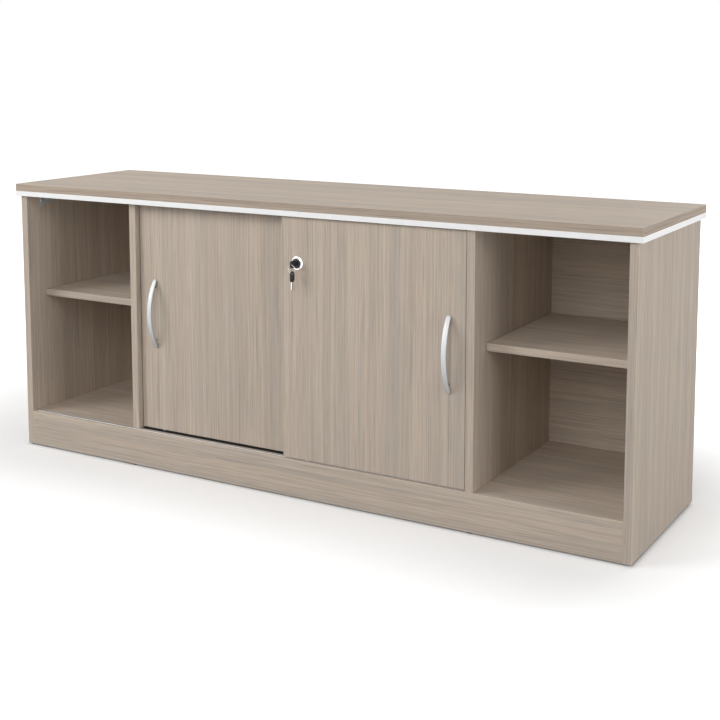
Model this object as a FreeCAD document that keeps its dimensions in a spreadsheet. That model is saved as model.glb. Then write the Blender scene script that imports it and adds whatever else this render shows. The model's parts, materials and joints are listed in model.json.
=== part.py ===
import FreeCAD, Part
import os
import re
import Sketcher

# Office credenza with two sliding doors between two open bays.
# Frame: millimetres, +Z up, front towards -Y, origin under the middle of the whole piece on the floor.

doc = FreeCAD.newDocument("credenza")
Vector = FreeCAD.Vector
Rotation = FreeCAD.Rotation
Placement = FreeCAD.Placement

home = {}       # which sheet holds each named value
nodes = []      # the finished sub-parts, each written to its own file
cuts = []       # pairs of features: the second must have less material than the first
cross_share = 0.9   # an edge whose direction has more than this of X runs along X


def sheet(name, rows):
    book = doc.addObject("Spreadsheet::Sheet", name)
    for row, (alias, content) in enumerate(rows.items(), start=1):
        home[alias] = name
        book.set(f"A{row}", linked(str(content)))
        book.setAlias(f"A{row}", alias)
    doc.recompute()
    return book


def linked(formula):
    # puts the sheet's name before every named value of a formula
    return re.sub(r"[a-z][a-z_]+", lambda word: home[word[0]] + "." + word[0] if word[0] in home else word[0],
                  formula)


# ---------------------------------------------------------------- driving dimensions

sizes = {
    # top and carcass
    "top_width": 1600,
    "top_depth": 430,
    "top_thickness": 18,
    "under_thickness": 12,
    "end_overhang": 10,
    "front_overhang": 8,
    "panel_height": 632,
    "panel_thickness": 18,
    "plinth_height": 67,
    "back_thickness": 3,
    "back_margin": 1,
    "edge_radius": 0.8,
    "left_bay_width": 315,
    "right_bay_width": 321,
    "left_divider_setback": 13,
    # floor glides
    "glide_height": 3,
    "glide_radius": 8,
    "glide_inset": 30,
    # shelves
    "shelf_thickness": 16,
    "shelf_level": 376,
    "shelf_setback": 58,
    "shelf_end_gap": 0.8,
    "shelf_back_gap": 2,
    "pin_radius": 2.5,
    "pin_depth": 8,
    "pin_reach": 8,
    "pin_inset": 40,
    "seat_gap": 0.1,
    # doors
    "door_thickness": 16,
    "front_door_width": 447,
    "door_lap": 75,
    "front_door_setback": 2,
    "door_spacing": 10,
    "door_end_gap": 2,
    "door_floor_gap": 3.5,
    "door_head_gap": 2.5,
    "bumper_radius": 4.5,
    "bumper_thickness": 1.7,
    "bumper_level": 505,
    # bottom rail, bottom track and top tracks
    "rail_width": 5,
    "rail_let_in": 6,
    "rail_proud": 1.5,
    "rail_start_gap": 13,
    "rail_end_gap": 1,
    "track_width": 31,
    "track_let_in": 4,
    "top_track_width": 8,
    "top_track_height": 7,
    "top_track_wall": 1,
    "track_end_gap": 0.5,
    # rollers and top guides
    "wheel_radius": 11,
    "wheel_width": 8,
    "flange_height": 1,
    "flange_gap": 0.3,
    "rolling_gap": 0.3,
    "axle_radius": 1.5,
    "running_fit": 0.05,
    "housing_length": 36,
    "housing_wall": 1.4,
    "housing_side_gap": 0.4,
    "housing_round_gap": 0.8,
    "housing_roof": 2,
    "roller_inset": 60,
    "guide_length": 20,
    "guide_width": 9,
    "guide_depth": 12,
    "fin_length": 16,
    "fin_side_gap": 0.5,
    "fin_top_gap": 1.2,
    "guide_inset": 40,
    # bow handles
    "handle_length": 164,
    "handle_rise": 25,
    "handle_projection": 29,
    "handle_band": 12,
    "handle_thickness": 4,
    "handle_centres": 128,
    "handle_post_radius": 4.5,
    "handle_inset": 37,
    "rear_handle_inset": 45,
    "handle_level": 373,
    "handle_tip_radius": 5,
    "handle_edge_radius": 1.2,
    "post_grip": 1.5,
    "screw_radius": 2,
    "screw_grip": 8,
    "screw_gap": 0.4,
    "thread_gap": 0.05,
    "screw_head_radius": 4,
    "screw_head_height": 2.4,
    # push lock
    "lock_inset": 40,
    "lock_level": 532,
    "lock_bore_radius": 12.5,
    "rosette_radius": 15,
    "rosette_thickness": 2,
    "nut_radius": 16,
    "nut_thickness": 3,
    "case_tail": 7.5,
    "case_web": 2,
    "plunger_radius": 11.5,
    "plunger_proud": 5,
    "lock_face_thickness": 1,
    "plunger_length": 21.8,
    "bolt_radius": 4.5,
    "bolt_length": 4.2,
    "plug_radius": 6,
    "plug_proud": 0.2,
    "plug_length": 20.8,
    "plug_end_gap": 0.2,
    "slot_gap": 0.1,
    "strike_width": 20,
    "strike_height": 32,
    "strike_thickness": 1,
    "strike_hole_radius": 5.5,
    "strike_hole_depth": 10,
    # keys
    "key_thickness": 2,
    "key_width": 6.6,
    "key_blade_length": 20,
    "key_notch": 1.6,
    "key_notch_pitch": 3,
    "key_head_thickness": 3,
    "key_head_width": 16,
    "key_head_length": 23.5,
    "key_head_radius": 6,
    "key_shoulder_gap": 0.3,
    "key_eye_radius": 2.6,
    "key_eye_inset": 5.5,
    "key_grip": 3,
    "ring_radius": 9,
    "ring_wire": 0.6,
    "ring_play": 1,
    "ring_seat": 0.3,
    "ring_tilt": 9,
    # corner brackets and their screws
    "bracket_leg": 10,
    "bracket_drop": 32,
    "bracket_length": 52,
    "bracket_heel": 28,
    "bracket_toe": 21,
    "bracket_flange": 16,
    "bracket_wall": 3,
    "bracket_inset": 42,
    "bracket_door_gap": 22,
    "bracket_rear_inset": 40,
    "bracket_hole_drop": 16,
    "bracket_hole_inset": 34,
    "small_screw_radius": 1.75,
    "small_screw_length": 10,
    "small_head_radius": 3.6,
    "small_head_height": 2,
    # fixings of the back panel
    "back_screw_radius": 1.5,
    "back_screw_length": 14,
    "back_head_radius": 3,
    "back_head_height": 1.2,
    "back_screw_margin": 40,
    # dowels and cam fittings between uprights and bottom board
    "dowel_radius": 4,
    "dowel_in_face": 12,
    "dowel_in_edge": 18,
    "dowel_inset": 60,
    "dowel_end_gap": 0.5,
    "cam_radius": 7.5,
    "cam_depth": 12.5,
    "cam_bolt_radius": 3,
    "cam_backset": 34,
    "cam_inset": 100,
}
sheet("sizes", sizes)

# ---------------------------------------------------------------- places worked out from them

places = {
    "half_width": "=top_width / 2",
    "handle_overhang": "=handle_projection - front_door_setback - front_overhang",
    "back_edge": "=(top_depth + handle_overhang) / 2",
    "top_front": "=back_edge - top_depth",
    "front_plane": "=top_front + front_overhang",
    "carcass_depth": "=top_depth - front_overhang - back_thickness",
    "inner_half": "=half_width - end_overhang - panel_thickness",
    "under_level": "=glide_height + panel_height",
    "top_level": "=under_level + under_thickness",
    "board_level": "=glide_height + plinth_height",
    "floor_level": "=board_level + panel_thickness",
    "upright_height": "=under_level - floor_level",
    "left_divider_x": "=left_bay_width - inner_half",
    "right_divider_x": "=inner_half - right_bay_width - panel_thickness",
    "centre_left": "=left_divider_x + panel_thickness",
    "centre_right": "=right_divider_x",
    "centre_width": "=centre_right - centre_left",
    "door_height": "=upright_height - door_floor_gap - door_head_gap",
    "door_level": "=floor_level + door_floor_gap",
    "front_door_x": "=centre_right - door_end_gap - front_door_width",
    "rear_door_x": "=centre_left + door_end_gap",
    "rear_door_width": "=front_door_x + door_lap - rear_door_x",
    "rear_door_setback": "=front_door_setback + door_thickness + door_spacing",
    "front_door_y": "=front_plane + front_door_setback",
    "rear_door_y": "=front_plane + rear_door_setback",
    "front_run": "=front_door_setback + door_thickness / 2",
    "rear_run": "=rear_door_setback + door_thickness / 2",
    "wheel_level": "=floor_level + rail_proud + rolling_gap + wheel_radius",
    "flange_radius": "=wheel_radius + flange_height",
    "housing_width": "=wheel_width + 2 * (housing_side_gap + housing_wall)",
    "cavity_length": "=2 * (flange_radius + housing_round_gap)",
    "cavity_height": "=wheel_level - door_level + flange_radius + housing_round_gap",
    "housing_height": "=cavity_height + housing_roof",
    "fin_rise": "=door_head_gap + top_track_height - top_track_wall - fin_top_gap",
    "fin_width": "=top_track_width - 2 * (top_track_wall + fin_side_gap)",
    "centre_bracket_inset": "=rear_door_setback + door_thickness + bracket_door_gap",
    "rear_bracket_inset": "=carcass_depth - bracket_rear_inset - bracket_length",
    "bow_radius": "=((handle_length / 2) ^ 2 + handle_rise ^ 2) / (2 * handle_rise)",
    "bow_angle": "=2 * asin(handle_length / 2 / bow_radius)",
    "post_length": "=sqrt((bow_radius - handle_thickness) ^ 2 - (handle_centres / 2) ^ 2)"
                   " - (bow_radius - handle_projection) + post_grip",
    "lock_x": "=front_door_x + lock_inset",
    "case_end": "=door_thickness + case_tail",
    "barrel_end": "=plunger_length - plunger_proud",
    "face_seat": "=plunger_proud - lock_face_thickness",
    "plug_end": "=plug_length - plunger_proud - plug_proud",
    "key_shoulder": "=plunger_proud + plug_proud + key_shoulder_gap",
    "key_eye": "=key_head_length - key_eye_inset",
    "ring_top_drop": "=key_eye_radius - ring_wire - ring_play",
    "spare_drop": "=key_eye_radius - ring_wire - ring_seat",
    "ring_centre_y": "=front_door_y - key_shoulder - key_eye + ring_radius * sin(ring_tilt)",
    "ring_centre_z": "=lock_level - ring_top_drop - ring_radius * cos(ring_tilt)",
    "spare_y": "=ring_centre_y + ring_radius * sin(ring_tilt)",
    "spare_z": "=ring_centre_z - ring_radius * cos(ring_tilt) - spare_drop - key_eye",
}
sheet("places", places)


# ---------------------------------------------------------------- building helpers

def bind(target, path, formula):
    target.setExpression(path, linked(formula))


def put(target, place, turn=None):
    # a sub-part's place, from three formulas, and its turn
    if turn is not None:
        target.Placement = Placement(Vector(), turn)
    for letter, formula in zip("xyz", place):
        bind(target, "Placement.Base." + letter, formula)


def body(label, place, turn=None):
    made = doc.addObject("PartDesign::Body", label)
    made.Label = label
    put(made, place, turn)
    nodes.append(made)
    return made


def sketch(owner, plane, lift="0"):
    # a sketch on one of the body's own origin planes, lifted along the plane's normal
    drawn = owner.newObject("Sketcher::SketchObject", "Sketch")
    base = [face for face in owner.Origin.OriginFeatures if face.Role == plane]
    drawn.AttachmentSupport = [(base[0], "")]
    drawn.MapMode = "FlatFace"
    bind(drawn, "AttachmentOffset.Base.z", lift)
    return drawn


def polygon(drawn, points):
    # closed straight outline whose corners are pairs of formulas
    first = drawn.GeometryCount
    count = len(points)
    for step in range(count):
        start = Vector(step, step * step, 0)
        end = Vector((step + 1) % count, ((step + 1) % count) ** 2, 0)
        drawn.addGeometry(Part.LineSegment(start, end))
    for step in range(count):
        after = first + (step + 1) % count
        drawn.addConstraint(Sketcher.Constraint("Coincident", first + step, 2, after, 1))
    for step, point in enumerate(points):
        for kind, formula in zip(("DistanceX", "DistanceY"), point):
            row = drawn.addConstraint(Sketcher.Constraint(kind, -1, 1, first + step, 1, 1.0))
            bind(drawn, f"Constraints[{row}]", formula)


def rectangle(drawn, left, low, right, high):
    polygon(drawn, [(left, low), (right, low), (right, high), (left, high)])


def circle(drawn, across, up, radius):
    drawn.addGeometry(Part.Circle(Vector(1, 1, 0), Vector(0, 0, 1), 1))
    ring = drawn.GeometryCount - 1
    for kind, formula in (("DistanceX", across), ("DistanceY", up)):
        row = drawn.addConstraint(Sketcher.Constraint(kind, -1, 1, ring, 3, 1.0))
        bind(drawn, f"Constraints[{row}]", formula)
    row = drawn.addConstraint(Sketcher.Constraint("Radius", ring, 1.0))
    bind(drawn, f"Constraints[{row}]", radius)


def pad(owner, drawn, length, middle=False, back=False):
    made = owner.newObject("PartDesign::Pad", "Pad")
    made.Profile = drawn
    bind(made, "Length", length)
    made.SideType = "Symmetric" if middle else "One side"
    made.Reversed = back
    return made


def pocket(owner, drawn, depth, back=False):
    before = owner.Tip
    made = owner.newObject("PartDesign::Pocket", "Pocket")
    made.Profile = drawn
    bind(made, "Length", depth)
    made.Reversed = back
    cuts.append((before, made))
    return made


def revolution(owner, drawn, axis, angle="360", middle=False):
    made = owner.newObject("PartDesign::Revolution", "Revolution")
    made.Profile = drawn
    made.ReferenceAxis = (drawn, [axis])
    bind(made, "Angle", angle)
    made.Midplane = middle
    return made


def round_edges(owner, radius, names=None):
    doc.recompute()
    made = owner.newObject("PartDesign::Fillet", "Fillet")
    made.Base = (made.BaseFeature, names or [""])
    made.UseAllEdges = names is None
    bind(made, "Radius", radius)
    return made


def straight_edges(owner, across):
    # names of the straight edges that run along X, or of those that do not
    straight = [(f"Edge{place}", edge) for place, edge in enumerate(owner.Shape.Edges, start=1)
                if edge.Curve.TypeId == "Part::GeomLine"]
    return [name for name, edge in straight
            if (abs(edge.tangentAt(edge.FirstParameter).x) > cross_share) == across]


def board(label, corner, size, rounded=True):
    # a flat board drawn from its lower front left corner
    made = body(label, corner)
    outline = sketch(made, "XY_Plane")
    rectangle(outline, "0", "0", size[0], size[1])
    pad(made, outline, size[2])
    if rounded:
        round_edges(made, "edge_radius")
    return made


def turned(label, place, profile, turn=None):
    # a piece turned about its own Y axis, from (radius, along) pairs
    made = body(label, place, turn)
    outline = sketch(made, "XY_Plane")
    polygon(outline, profile)
    revolution(made, outline, "V_Axis")
    return made


def block(corner, size):
    made = doc.addObject("Part::Box", "Block")
    for side, formula in zip(("Length", "Width", "Height"), size):
        bind(made, side, formula)
    put(made, corner)
    return made


axis_turn = {
    "x": Rotation(Vector(0, 0, 1), Vector(1, 0, 0)),
    "-x": Rotation(Vector(0, 0, 1), Vector(-1, 0, 0)),
    "y": Rotation(Vector(0, 0, 1), Vector(0, 1, 0)),
    "-y": Rotation(Vector(0, 0, 1), Vector(0, -1, 0)),
    "z": Rotation(),
}


def rod(start, radius, length, axis):
    made = doc.addObject("Part::Cylinder", "Rod")
    bind(made, "Radius", radius)
    bind(made, "Height", length)
    put(made, start, axis_turn[axis])
    return made


def joined(first, second):
    made = doc.addObject("Part::Fuse", "Join")
    made.Base = first
    made.Tool = second
    return made


def less(base, tool):
    made = doc.addObject("Part::Cut", "Cut")
    made.Base = base
    made.Tool = tool
    cuts.append((base, made))
    return made


def group(label, pieces):
    made = doc.addObject("Part::Compound", label)
    made.Label = label
    made.Links = pieces
    nodes.append(made)
    return made


def moved(place, along, formula):
    # the same place, shifted along one axis
    shifted = list(place)
    shifted["xyz".index(along[-1])] += f" {'-' if along[0] == '-' else '+'} ({formula})"
    return tuple(shifted)


def headed_screw(seat, axis, radius, length, head_radius, head_height):
    # a screw whose head rests on the seat and whose shank goes along the axis
    opposite = axis[1:] if axis[0] == "-" else "-" + axis
    head_start = moved(seat, opposite, head_height)
    return joined(rod(head_start, head_radius, head_height, axis), rod(seat, radius, length, axis))


# ---------------------------------------------------------------- top

# each row: the upright's name, the side on which its brackets stand, the face they stand on and their
# distances from the front; those in the middle bay stand clear behind the rear door
brackets = (
    ("left_side_panel", "+", "(-inner_half)", ("bracket_inset", "rear_bracket_inset")),
    ("left_divider", "-", "left_divider_x", ("bracket_inset", "rear_bracket_inset")),
    ("right_divider", "-", "right_divider_x", ("centre_bracket_inset", "rear_bracket_inset")),
    ("right_side_panel", "-", "inner_half", ("bracket_inset", "rear_bracket_inset")),
)

board("top_board", ("-half_width", "top_front", "top_level"), ("top_width", "top_depth", "top_thickness"))
under = board("under_board", ("-half_width", "top_front", "under_level"),
              ("top_width", "top_depth", "under_thickness"))
# from below: two stopped grooves for the top tracks and the pilot holes of the bracket screws
for run in ("front_run", "rear_run"):
    groove = sketch(under, "XY_Plane")
    middle = f"front_overhang + {run}"
    rectangle(groove, "half_width + centre_left + track_end_gap", f"{middle} - top_track_width / 2",
              "half_width + centre_right - track_end_gap", f"{middle} + top_track_width / 2")
    pocket(under, groove, "top_track_height", back=True)
flange_pilots = sketch(under, "XY_Plane")
for _, side, face, rows in brackets:
    for depth in rows:
        circle(flange_pilots, f"half_width + {face} {side} bracket_flange / 2",
               f"front_overhang + {depth} + bracket_hole_inset", "small_screw_radius")
pocket(under, flange_pilots, "small_screw_length - bracket_wall", back=True)

# ---------------------------------------------------------------- uprights

# each row: label, x of the left face, setback, foot level, height, faces that carry shelf pins
uprights = (
    ("left_side_panel", "-inner_half - panel_thickness", "0", "glide_height", "panel_height", ("right",)),
    ("left_divider", "left_divider_x", "left_divider_setback", "floor_level", "upright_height",
     ("left", "right")),
    ("right_divider", "right_divider_x", "0", "floor_level", "upright_height", ("left", "right")),
    ("right_side_panel", "inner_half", "0", "glide_height", "panel_height", ("left",)),
)
pin_depths = ("shelf_setback + pin_inset", "carcass_depth - shelf_back_gap - pin_inset")
pin_level = "shelf_level - seat_gap - pin_radius"
dowel_depths = ("dowel_inset", "carcass_depth - dowel_inset")
cam_depths = ("cam_inset", "carcass_depth - cam_inset")
board_middle = "board_level + panel_thickness / 2"
back_screw_levels = ("board_level + back_screw_margin + panel_thickness", "(board_level + under_level) / 2",
                     "under_level - back_screw_margin")

for label, left_face, setback, foot, height, pin_faces in uprights:
    upright = board(label, (left_face, f"front_plane + {setback}", foot),
                    ("panel_thickness", f"carcass_depth - {setback}", height))
    for face in pin_faces:
        lift = "panel_thickness" if face == "right" else "0"
        holes = sketch(upright, "YZ_Plane", lift)
        for depth in pin_depths:
            circle(holes, f"{depth} - {setback}", f"{pin_level} - {foot}", "pin_radius")
        pocket(upright, holes, "pin_depth", back=face == "left")
    # pilot holes of the bracket screws
    side, rows = [(sign, rows) for name, sign, _, rows in brackets if name == label][0]
    pilots = sketch(upright, "YZ_Plane", "panel_thickness" if side == "+" else "0")
    for depth in rows:
        circle(pilots, f"{depth} + bracket_leg / 2 - {setback}", f"under_level - bracket_hole_drop - {foot}",
               "small_screw_radius")
    pocket(upright, pilots, "small_screw_length - bracket_wall", back=side == "-")
    # pilot holes of the back panel's screws, in the rear edge
    rear = sketch(upright, "XZ_Plane", f"-(carcass_depth - {setback})")
    for level in back_screw_levels:
        circle(rear, "panel_thickness / 2", f"{level} - {foot}", "back_screw_radius")
    pocket(upright, rear, "back_screw_length - back_thickness + back_head_height", back=True)
    # holes for what joins it to the bottom board
    if foot == "glide_height":
        inner = "right" if label.startswith("left") else "left"
        joints = sketch(upright, "YZ_Plane", "panel_thickness" if inner == "right" else "0")
        for depth in dowel_depths:
            circle(joints, depth, f"{board_middle} - {foot}", "dowel_radius")
        pocket(upright, joints, "dowel_in_face", back=inner == "left")
        bolts = sketch(upright, "YZ_Plane", "panel_thickness" if inner == "right" else "0")
        for depth in cam_depths:
            circle(bolts, depth, f"{board_middle} - {foot}", "cam_bolt_radius")
        pocket(upright, bolts, "dowel_in_face", back=inner == "left")
    else:
        joints = sketch(upright, "XY_Plane")
        for depth in dowel_depths:
            circle(joints, "panel_thickness / 2", f"{depth} - {setback}", "dowel_radius")
        pocket(upright, joints, "dowel_in_edge", back=True)

# ---------------------------------------------------------------- bottom board and plinth

board_screws = ("-inner_half / 2", "inner_half / 2")

bottom = board("bottom_board", ("-inner_half", "front_plane", "board_level"),
               ("2 * inner_half", "carcass_depth", "panel_thickness"))
rail_groove = sketch(bottom, "XY_Plane", "panel_thickness")
rectangle(rail_groove, "rail_start_gap", "front_run - rail_width / 2",
          "inner_half + centre_right - rail_end_gap", "front_run + rail_width / 2")
pocket(bottom, rail_groove, "rail_let_in")
track_groove = sketch(bottom, "XY_Plane", "panel_thickness")
rectangle(track_groove, "inner_half + centre_left + track_end_gap", "rear_run - track_width / 2",
          "inner_half + centre_right - track_end_gap", "rear_run + track_width / 2")
pocket(bottom, track_groove, "track_let_in")
divider_dowels = sketch(bottom, "XY_Plane", "panel_thickness")
for middle in ("left_divider_x", "right_divider_x"):
    for depth in dowel_depths:
        circle(divider_dowels, f"inner_half + {middle} + panel_thickness / 2", depth, "dowel_radius")
pocket(bottom, divider_dowels, "dowel_in_face")
cam_seats = sketch(bottom, "XY_Plane")
for depth in cam_depths:
    circle(cam_seats, "cam_backset", depth, "cam_radius")
    circle(cam_seats, "2 * inner_half - cam_backset", depth, "cam_radius")
pocket(bottom, cam_seats, "cam_depth", back=True)
for end, back in (("0", True), ("2 * inner_half", False)):
    end_dowels = sketch(bottom, "YZ_Plane", end)
    for depth in dowel_depths:
        circle(end_dowels, depth, "panel_thickness / 2", "dowel_radius")
    pocket(bottom, end_dowels, "dowel_in_edge", back=back)
    end_bolts = sketch(bottom, "YZ_Plane", end)
    for depth in cam_depths:
        circle(end_bolts, depth, "panel_thickness / 2", "cam_bolt_radius")
    pocket(bottom, end_bolts, "cam_backset", back=back)
rear_pilots = sketch(bottom, "XZ_Plane", "-carcass_depth")
for across in board_screws:
    circle(rear_pilots, f"inner_half + {across}", "panel_thickness / 2", "back_screw_radius")
pocket(bottom, rear_pilots, "back_screw_length - back_thickness + back_head_height", back=True)

board("front_plinth", ("-inner_half", "front_plane", "glide_height"),
      ("2 * inner_half", "panel_thickness", "plinth_height"))
board("rear_plinth", ("-inner_half", "front_plane + carcass_depth - panel_thickness", "glide_height"),
      ("2 * inner_half", "panel_thickness", "plinth_height"))
group("plinth_cross_rails", [
    block((left_face, "front_plane + panel_thickness", "glide_height"),
          ("panel_thickness", "carcass_depth - 2 * panel_thickness", "plinth_height"))
    for left_face in ("left_divider_x", "right_divider_x")])

glide_places = [(f"{side} * (inner_half + panel_thickness / 2)", depth)
                for side in ("-1", "1") for depth in ("glide_inset", "carcass_depth - glide_inset")]
glide_places += [(f"{middle} + panel_thickness / 2", depth)
                 for middle in ("left_divider_x", "right_divider_x")
                 for depth in ("panel_thickness / 2", "carcass_depth - panel_thickness / 2")]
group("floor_glides", [rod((across, f"front_plane + {depth}", "0"), "glide_radius", "glide_height", "z")
                       for across, depth in glide_places])

# ---------------------------------------------------------------- back panel

panel = board("back_panel", ("-inner_half - panel_thickness + back_margin", "front_plane + carcass_depth",
                             "glide_height + back_margin"),
              ("2 * (inner_half + panel_thickness - back_margin)", "back_thickness",
               "panel_height - back_margin"), rounded=False)
back_screws = [(f"{left_face} + panel_thickness / 2", level)
               for _, left_face, *_ in uprights for level in back_screw_levels]
back_screws += [(across, board_middle) for across in board_screws]
for radius, depth in (("back_head_radius", "back_head_height"), ("back_screw_radius", "back_thickness")):
    holes = sketch(panel, "XZ_Plane", "-back_thickness")
    for across, level in back_screws:
        circle(holes, f"{across} + inner_half + panel_thickness - back_margin",
               f"{level} - glide_height - back_margin", radius)
    pocket(panel, holes, depth, back=True)
group("back_screws", [
    headed_screw((across, "back_edge - back_head_height", level), "-y", "back_screw_radius",
                 "back_screw_length", "back_head_radius", "back_head_height")
    for across, level in back_screws])

# ---------------------------------------------------------------- shelves and their pins

# each row: label, left end of the bay, right end of the bay
bays = (
    ("left_shelf", "-inner_half", "left_divider_x"),
    ("centre_shelf", "centre_left", "centre_right"),
    ("right_shelf", "right_divider_x + panel_thickness", "inner_half"),
)
pins = []
for label, left_end, right_end in bays:
    board(label, (f"{left_end} + shelf_end_gap", "front_plane + shelf_setback", "shelf_level"),
          (f"{right_end} - ({left_end}) - 2 * shelf_end_gap",
           "carcass_depth - shelf_setback - shelf_back_gap", "shelf_thickness"))
    for depth in pin_depths:
        pins.append(rod((f"{left_end} - pin_depth", f"front_plane + {depth}", pin_level), "pin_radius",
                        "pin_depth + pin_reach", "x"))
        pins.append(rod((f"{right_end} - pin_reach", f"front_plane + {depth}", pin_level), "pin_radius",
                        "pin_depth + pin_reach", "x"))
group("shelf_pins", pins)

# ---------------------------------------------------------------- corner brackets

bracket_solids = []
bracket_screws = []
for _, side, face, rows in brackets:
    for depth in rows:
        # the web lies on the upright, the flange under the top
        web = doc.addObject("PartDesign::Body", "BracketWeb")
        put(web, (face if side == "+" else f"{face} - bracket_wall", f"front_plane + {depth}", "under_level"))
        outline = sketch(web, "YZ_Plane")
        polygon(outline, [("0", "0"), ("0", "-bracket_drop"), ("bracket_leg", "-bracket_drop"),
                          ("bracket_leg", "-bracket_heel"), ("bracket_length", "-bracket_toe"),
                          ("bracket_length", "0")])
        pad(web, outline, "bracket_wall")
        hole = sketch(web, "YZ_Plane")
        circle(hole, "bracket_leg / 2", "-bracket_hole_drop", "small_screw_radius")
        pocket(web, hole, "bracket_wall", back=True)
        flange_x = face if side == "+" else f"{face} - bracket_flange"
        flange = block((flange_x, f"front_plane + {depth}", "under_level - bracket_wall"),
                       ("bracket_flange", "bracket_length", "bracket_wall"))
        middle = f"{face} {side} bracket_flange / 2"
        hole_place = (middle, f"front_plane + {depth} + bracket_hole_inset", "under_level - bracket_wall")
        flange = less(flange, rod(hole_place, "small_screw_radius", "bracket_wall", "z"))
        bracket_solids.append(joined(web, flange))
        bracket_screws.append(headed_screw(hole_place, "z", "small_screw_radius", "small_screw_length",
                                           "small_head_radius", "small_head_height"))
        into = "-x" if side == "+" else "x"
        seat = (f"{face} {side} bracket_wall", f"front_plane + {depth} + bracket_leg / 2",
                "under_level - bracket_hole_drop")
        bracket_screws.append(headed_screw(seat, into, "small_screw_radius", "small_screw_length",
                                           "small_head_radius", "small_head_height"))
group("corner_brackets", bracket_solids)
group("bracket_screws", bracket_screws)

# ---------------------------------------------------------------- dowels and cam fittings

dowels = []
cam_discs = []
cam_bolts = []
for direction, face in (("x", "-inner_half"), ("-x", "inner_half")):
    sign = "+" if direction == "x" else "-"
    back_sign = "-" if direction == "x" else "+"
    for depth in dowel_depths:
        dowels.append(rod((f"{face} {back_sign} (dowel_in_face - dowel_end_gap)", f"front_plane + {depth}",
                           board_middle),
                          "dowel_radius", "dowel_in_face + dowel_in_edge - 2 * dowel_end_gap", direction))
    for depth in cam_depths:
        cam_discs.append(rod((f"{face} {sign} cam_backset", f"front_plane + {depth}", "board_level"),
                             "cam_radius", "cam_depth", "z"))
        cam_bolts.append(rod((f"{face} {back_sign} dowel_in_face", f"front_plane + {depth}", board_middle),
                             "cam_bolt_radius", "dowel_in_face + cam_backset - cam_radius", direction))
for middle in ("left_divider_x", "right_divider_x"):
    for depth in dowel_depths:
        dowels.append(rod((f"{middle} + panel_thickness / 2", f"front_plane + {depth}",
                           "floor_level - dowel_in_face + dowel_end_gap"),
                          "dowel_radius", "dowel_in_face + dowel_in_edge - 2 * dowel_end_gap", "z"))
group("dowels", dowels)
group("cam_discs", cam_discs)
group("cam_bolts", cam_bolts)

# ---------------------------------------------------------------- rail and tracks

rail = body("front_rail", ("-inner_half + rail_start_gap", "front_plane + front_run", "floor_level"))
section = sketch(rail, "YZ_Plane")
rectangle(section, "-rail_width / 2", "-rail_let_in", "rail_width / 2", "rail_proud")
pad(rail, section, "inner_half + centre_right - rail_end_gap - rail_start_gap")

track_length = "centre_width - 2 * track_end_gap"
track = body("rear_track", ("centre_left + track_end_gap", "front_plane + rear_run", "floor_level"))
section = sketch(track, "YZ_Plane")
polygon(section, [("-track_width / 2", "-track_let_in"), ("track_width / 2", "-track_let_in"),
                  ("track_width / 2", "0"), ("rail_width / 2", "0"), ("rail_width / 2", "rail_proud"),
                  ("-rail_width / 2", "rail_proud"), ("-rail_width / 2", "0"), ("-track_width / 2", "0")])
pad(track, section, track_length)

for label, run in (("front_top_track", "front_run"), ("rear_top_track", "rear_run")):
    channel = body(label, ("centre_left + track_end_gap", f"front_plane + {run}", "under_level"))
    section = sketch(channel, "YZ_Plane")
    inside = "top_track_width / 2 - top_track_wall"
    roof = "top_track_height - top_track_wall"
    polygon(section, [("-top_track_width / 2", "0"), (f"-({inside})", "0"), (f"-({inside})", roof),
                      (inside, roof), (inside, "0"), ("top_track_width / 2", "0"),
                      ("top_track_width / 2", "top_track_height"),
                      ("-top_track_width / 2", "top_track_height")])
    pad(channel, section, track_length)

# ---------------------------------------------------------------- doors and what each carries

# each row: name, left edge, front face, width, distance of the handle's middle from the left edge
doors = (
    ("front", "front_door_x", "front_door_y", "front_door_width", "front_door_width - handle_inset"),
    ("rear", "rear_door_x", "rear_door_y", "rear_door_width", "rear_handle_inset"),
)
half_door = "door_thickness / 2"

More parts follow.
